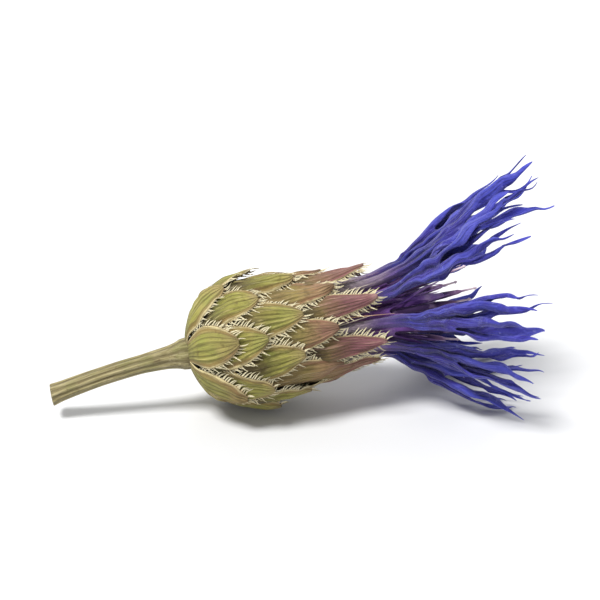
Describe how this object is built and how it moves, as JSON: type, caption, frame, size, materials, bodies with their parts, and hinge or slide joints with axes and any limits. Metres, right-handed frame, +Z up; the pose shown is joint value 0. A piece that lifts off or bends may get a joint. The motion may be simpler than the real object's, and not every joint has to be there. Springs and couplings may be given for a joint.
{
  "type": "dried cornflower head",
  "caption": "Dried flower head lying on its side: stem stub, scaly egg-shaped involucre of overlapping bracts, dark violet centre florets and flared blue outer florets.",
  "frame": {"origin": "centre of the bounding box's bottom, on the surface that the head lies on", "axes": "+X from the stem towards the crown of florets, +Z up; the head's own axis rises 8 degrees from the surface towards the crown"},
  "size_m": [0.0366, 0.0182, 0.0183],
  "materials": {
    "dried_stem": "dry, ribbed, pale greenish tan",
    "bract": "dry, papery, straw yellow-green with pale fringed edges",
    "inner_bract": "dry, papery, straw below and mauve-tan at the tip",
    "ray_petal": "dry, crinkled, blue with a pale tube",
    "disc_petal": "dry, crinkled, dark violet with pale lilac ends"
  },
  "bodies": {
    "root": {"stem_with_receptacle": "dried_stem", "bract_outer_1": "bract", "bract_outer_2": "bract", "bract_outer_3": "bract", "bract_outer_4": "bract", "bract_outer_5": "bract", "bract_outer_6": "bract", "bract_second_1": "bract", "bract_second_2": "bract", "bract_second_3": "bract", "bract_second_4": "bract", "bract_second_5": "bract", "bract_second_6": "bract", "bract_second_7": "bract", "bract_second_8": "bract", "bract_third_1": "bract", "bract_third_2": "bract", "bract_third_3": "bract", "bract_third_4": "bract", "bract_third_5": "bract", "bract_third_6": "bract", "bract_third_7": "bract", "bract_third_8": "bract", "bract_fourth_1": "bract", "bract_fourth_2": "bract", "bract_fourth_3": "bract", "bract_fourth_4": "bract", "bract_fourth_5": "bract", "bract_fourth_6": "bract", "bract_fourth_7": "bract", "bract_fourth_8": "bract", "bract_inner_1": "inner_bract", "bract_inner_2": "inner_bract", "bract_inner_3": "inner_bract", "bract_inner_4": "inner_bract", "bract_inner_5": "inner_bract", "bract_inner_6": "inner_bract", "bract_inner_7": "inner_bract", "bract_inner_8": "inner_bract", "ray_floret_1": "ray_petal", "ray_floret_2": "ray_petal", "ray_floret_3": "ray_petal", "ray_floret_4": "ray_petal", "ray_floret_5": "ray_petal", "ray_floret_6": "ray_petal", "ray_floret_7": "ray_petal", "ray_floret_8": "ray_petal", "ray_floret_9": "ray_petal", "disc_floret_1": "disc_petal", "disc_floret_2": "disc_petal", "disc_floret_3": "disc_petal", "disc_floret_4": "disc_petal", "disc_floret_5": "disc_petal", "disc_floret_6": "disc_petal", "disc_floret_7": "disc_petal", "disc_floret_8": "disc_petal", "disc_floret_9": "disc_petal", "disc_floret_10": "disc_petal", "disc_floret_11": "disc_petal", "disc_floret_12": "disc_petal"}
  },
  "joints": []
}
